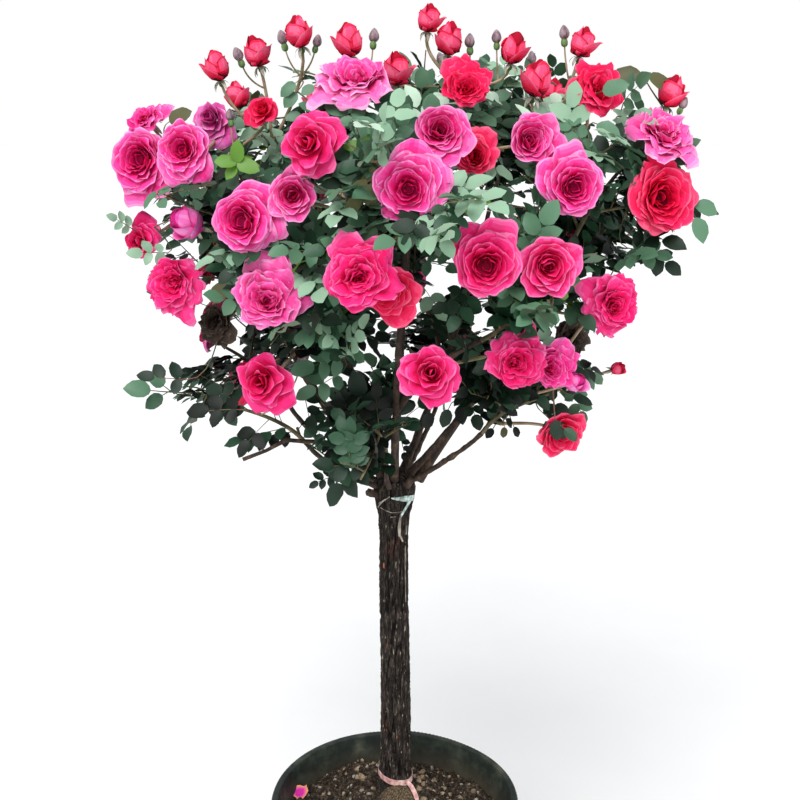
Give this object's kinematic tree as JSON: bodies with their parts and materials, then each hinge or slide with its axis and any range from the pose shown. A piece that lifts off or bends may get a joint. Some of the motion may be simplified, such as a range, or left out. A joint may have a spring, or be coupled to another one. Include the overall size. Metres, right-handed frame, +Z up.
{
  "type": "potted standard rose bush",
  "caption": "Standard rose with one straight grafted trunk, fanned boughs and a wide heart-shaped crown of leaves and double flowers, in a round nursery pot.",
  "frame": {"origin": "centre of the pot's flat underside, on the ground", "axes": "+Z up along the trunk, +X to the right and -Y toward the front of the crown"},
  "size_m": [0.6998, 0.63, 1.3057],
  "materials": {
    "pot_plastic": "thin dark green-black moulded plastic, slightly dusty",
    "potting_soil": "crumbly brown potting soil with pale grit",
    "bark": "rough grey-brown bark, flaking along the trunk",
    "foliage": "matt green leaves with pink and red flowers"
  },
  "bodies": {
    "root": {"pot": "pot_plastic", "soil": "potting_soil", "trunk": "bark", "crest_1_bough": "bark", "shoulder_1_bough": "bark", "shoulder_2_bough": "bark", "shoulder_3_bough": "bark", "shoulder_4_bough": "bark", "shoulder_5_bough": "bark", "waist_1_bough": "bark", "waist_2_bough": "bark", "waist_3_bough": "bark", "waist_4_bough": "bark", "waist_5_bough": "bark", "skirt_1_bough": "bark", "skirt_2_bough": "bark", "skirt_3_bough": "bark", "skirt_4_bough": "bark", "skirt_5_bough": "bark", "crest_1_foliage": "foliage", "shoulder_1_foliage": "foliage", "shoulder_2_foliage": "foliage", "shoulder_3_foliage": "foliage", "shoulder_4_foliage": "foliage", "shoulder_5_foliage": "foliage", "waist_1_foliage": "foliage", "waist_2_foliage": "foliage", "waist_3_foliage": "foliage", "waist_4_foliage": "foliage", "waist_5_foliage": "foliage", "skirt_1_foliage": "foliage", "skirt_2_foliage": "foliage", "skirt_3_foliage": "foliage", "skirt_4_foliage": "foliage", "skirt_5_foliage": "foliage"}
  },
  "joints": []
}
